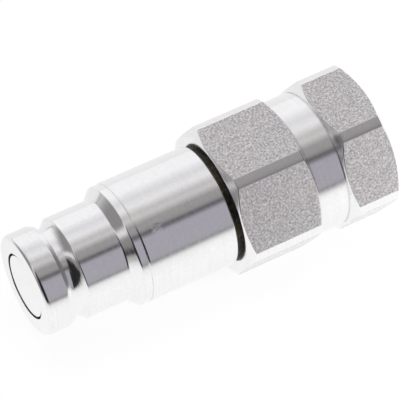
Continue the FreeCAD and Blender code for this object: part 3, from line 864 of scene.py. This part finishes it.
def drawn_steel(name):
    """Hexagon bar as drawn: dull, grey and grainy, with a large faint stain, and glossy seen edge on."""
    material, tree, place = new_material(name)
    grain = use_group(tree, mottle, {"Place": place, "Scale": 2400.0, "Contrast": 2.2, "Relief": 5e-5})
    stain = use_group(tree, mottle, {"Place": place, "Scale": 150.0, "Contrast": 2.5})
    tone = blend(tree, grain["Shade"], *GRAIN_TONES)
    facing = add_node(tree, "ShaderNodeLayerWeight", {"Blend": 0.5}).outputs["Facing"]
    put_surface(tree, {
        "Base Color": tinted(tree, tone, blend(tree, stain["Shade"], *STAIN_TINTS)),
        "Metallic": 0.8,
        "Roughness": spread(tree, facing, EDGE_ON, DRAWN_ROUGHNESS),
        "Normal": grain["Normal"],
    })
    return material


def plain_material(name, metallic, roughness, tones, scale, relief):
    """Material with a faint uneven tone and relief."""
    material, tree, place = new_material(name)
    spots = use_group(tree, mottle, {"Place": place, "Scale": scale, "Contrast": 2.0, "Relief": relief})
    put_surface(tree, {
        "Base Color": blend(tree, spots["Shade"], *tones),
        "Metallic": metallic,
        "Roughness": roughness,
        "Normal": spots["Normal"],
    })
    return material


def recess_painted_shade(name):
    """Painted shade in the narrow groove and the nose's gap: dull steel with a dark, brownish tone that
    stands for the shade there.
    """
    return plain_material(name, metallic=1.0, roughness=0.45, scale=900.0, relief=4e-6,
                          tones=((0.035, 0.031, 0.024), (0.15, 0.135, 0.105)))


def spring_wire(name):
    """Drawn stainless wire of the spring."""
    return plain_material(name, metallic=1.0, roughness=0.28, scale=1500.0, relief=2e-6,
                          tones=((0.50, 0.50, 0.50), (0.66, 0.66, 0.65)))


def seal_rubber(name):
    """Smooth black rubber of both O-rings."""
    return plain_material(name, metallic=0.0, roughness=0.45, scale=2000.0, relief=4e-6,
                          tones=((0.012, 0.012, 0.012), (0.03, 0.03, 0.03)))


def backup_plastic(name):
    """White plastic of both backup rings."""
    return plain_material(name, metallic=0.0, roughness=0.4, scale=800.0, relief=3e-6,
                          tones=((0.80, 0.80, 0.77), (0.90, 0.90, 0.87)))


def guide_steel(name):
    """Fine turned steel of the guide plate."""
    return plain_material(name, metallic=1.0, roughness=0.3, scale=700.0, relief=3e-6,
                          tones=((0.66, 0.66, 0.65), (0.80, 0.80, 0.79)))


def camera_axes():
    """Right, up and back of the photograph's camera, from its azimuth, elevation and roll."""
    flat = math.cos(VIEW_ELEVATION)
    back = Vector((
        math.sin(VIEW_AZIMUTH) * flat,
        -math.cos(VIEW_AZIMUTH) * flat,
        math.sin(VIEW_ELEVATION),
    ))
    level = Vector((math.cos(VIEW_AZIMUTH), math.sin(VIEW_AZIMUTH), 0))
    right = level * math.cos(VIEW_ROLL) + back.cross(level) * math.sin(VIEW_ROLL)
    return right, back.cross(right), back


def photo_camera():
    """Camera that puts the centre of the nose at its pixel, at its distance."""
    data = bpy.data.cameras.new("photo_camera")
    data.lens = FOCAL_PIXELS / IMAGE_SIZE * data.sensor_width
    data.clip_start = NEAREST_SEEN
    right, up, back = camera_axes()
    across, down = [(pixel - IMAGE_SIZE / 2) / FOCAL_PIXELS * NOSE_DISTANCE for pixel in NOSE_PIXEL]
    camera = put_object("photo_camera", data)
    camera.matrix_world = Matrix((right, up, back)).transposed().to_4x4()
    camera.location = back * NOSE_DISTANCE - right * across + up * down
    bpy.context.scene.camera = camera


def studio():
    """World: white to the camera. To the metal it is a ring of lights, a grey wall with an upright light
    on the left, a dark wall on the right, and a dark standing shape under the lens."""
    world = bpy.data.worlds.new("studio")
    bpy.context.scene.world = world
    tree = empty_tree(world)
    way = add_node(tree, "ShaderNodeTexCoord").outputs["Generated"]
    parts = add_node(tree, "ShaderNodeSeparateXYZ", {"Vector": way}).outputs
    turn = combined(tree, parts["Z"], combined(tree, parts["Y"], -1.0), "ARCTAN2")
    ramp = add_node(tree, "ShaderNodeValToRGB", {"Fac": combined(tree, turn, math.pi, "DIVIDE")})
    stops = ramp.color_ramp.elements
    while len(stops) < len(STUDIO_RING):
        stops.new(0.5)
    for stop, (angle, colour) in zip(stops, STUDIO_RING):
        stop.position = angle / HALF_TURN
        stop.color = (*colour, 1)
    left = blend(tree, sky_patch(tree, way, LEFT_LIGHT_SIDES), LEFT_WALL, LEFT_LIGHT)
    colour = blend(tree, fade(tree, parts["X"], LEFT_WALL_REACH), ramp.outputs["Color"], left)
    colour = blend(tree, fade(tree, parts["X"], RIGHT_WALL_REACH), colour, RIGHT_WALL)
    colour = blend(tree, sky_patch(tree, way, STANDING_SIDES), colour, STANDING_SHADE)
    around = add_node(tree, "ShaderNodeBackground", {"Color": colour}).outputs[0]
    white = add_node(tree, "ShaderNodeBackground", {"Color": WHITE}).outputs[0]
    seen = add_node(tree, "ShaderNodeLightPath").outputs["Is Camera Ray"]
    mixed = add_node(tree, "ShaderNodeMixShader", {0: seen, 1: around, 2: white})
    add_node(tree, "ShaderNodeOutputWorld", {"Surface": mixed.outputs[0]})


def floor_white(name):
    """White of the floor: mostly its own to camera and metal, the rest lit, so the shadow shows."""
    material, tree, place = new_material(name)
    parts = add_node(tree, "ShaderNodeSeparateXYZ", {"Vector": place}).outputs
    ray = add_node(tree, "ShaderNodeLightPath").outputs
    dimmed = 1.0
    for axis, least, outer, inner in FLOOR_DIMS:
        side = spread(tree, parts[axis], (outer, inner), (least, 1.0))
        dimmed = combined(tree, side, dimmed, "MINIMUM")
    strength = combined(tree, dimmed, ray["Is Camera Ray"], "MAXIMUM")
    glow = add_node(tree, "ShaderNodeEmission", {"Color": WHITE, "Strength": strength}).outputs[0]
    lit = add_node(tree, "ShaderNodeBsdfDiffuse", {"Color": FLOOR_LIT}).outputs[0]
    seen = ray["Is Camera Ray"]
    for kind in ("Is Glossy Ray", "Is Transmission Ray"):
        seen = combined(tree, seen, ray[kind], "MAXIMUM")
    own = combined(tree, seen, FLOOR_OWN_WHITE)
    mixed = add_node(tree, "ShaderNodeMixShader", {0: own, 1: lit, 2: glow})
    add_node(tree, "ShaderNodeOutputMaterial", {"Surface": mixed.outputs[0]})
    return material


def white_floor():
    """Plain floor: a square at the part's lowest point."""
    low = cad_box[0].z
    square = ((-1, -1), (1, -1), (1, 1), (-1, 1))
    mesh = bpy.data.meshes.new("floor")
    mesh.from_pydata([(x * FLOOR_HALF, y * FLOOR_HALF, low) for x, y in square], [], [(0, 1, 2, 3)])
    mesh.materials.append(floor_white("floor_white"))
    floor = put_object("floor", mesh)


def soft_lamp(name, place, size, energy):
    """Soft round lamp turned to the part, which the metal does not mirror."""
    data = bpy.data.lights.new(name, "AREA")
    data.shape = "DISK"
    data.size = size
    data.energy = energy
    lamp = put_object(name, data)
    lamp.location = place
    lamp.rotation_euler = (Vector(place) - LAMP_AIM).to_track_quat("Z", "Y").to_euler()
    lamp.visible_glossy = False
    lamp.visible_camera = False


mottle = mottle_group()
tool_marks = tool_marks_group()
turned = turned_steel("turned_steel")
drawn = drawn_steel("drawn_hexagon_steel")
# Painted shade for the narrow groove and the nose's gap.
dark = recess_painted_shade("recess_painted_shade")
wire = spring_wire("spring_wire")
for piece, node, body, slot in (
    (plug_body(turned, drawn, dark), "plug_body", "housing", "body_steel"),
    (rear_adapter(turned, drawn), "rear_adapter", "housing", "body_steel"),
    (flat_face_valve(turned), "flat_face_valve", "valve", "valve_steel"),
    (valve_spring(wire), "valve_spring", "housing", "spring_steel"),
):
    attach(piece, body)
    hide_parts(node)
    if node == "valve_spring":
        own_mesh(piece)

rubber = seal_rubber("seal_rubber_black")
plastic = backup_plastic("backup_plastic_white")
for node, material in (
    ("valve_guide", guide_steel("guide_steel")),
    ("valve_seal", rubber),
    ("body_o_ring", rubber),
    ("valve_backup_ring", plastic),
    ("body_backup_ring", plastic),
):
    frame["nodes"][node].material_slots[0].material = material

photo_camera()
studio()
white_floor()
for lamp in LAMPS:
    soft_lamp(*lamp)
bpy.context.scene.view_settings.view_transform = "Standard"
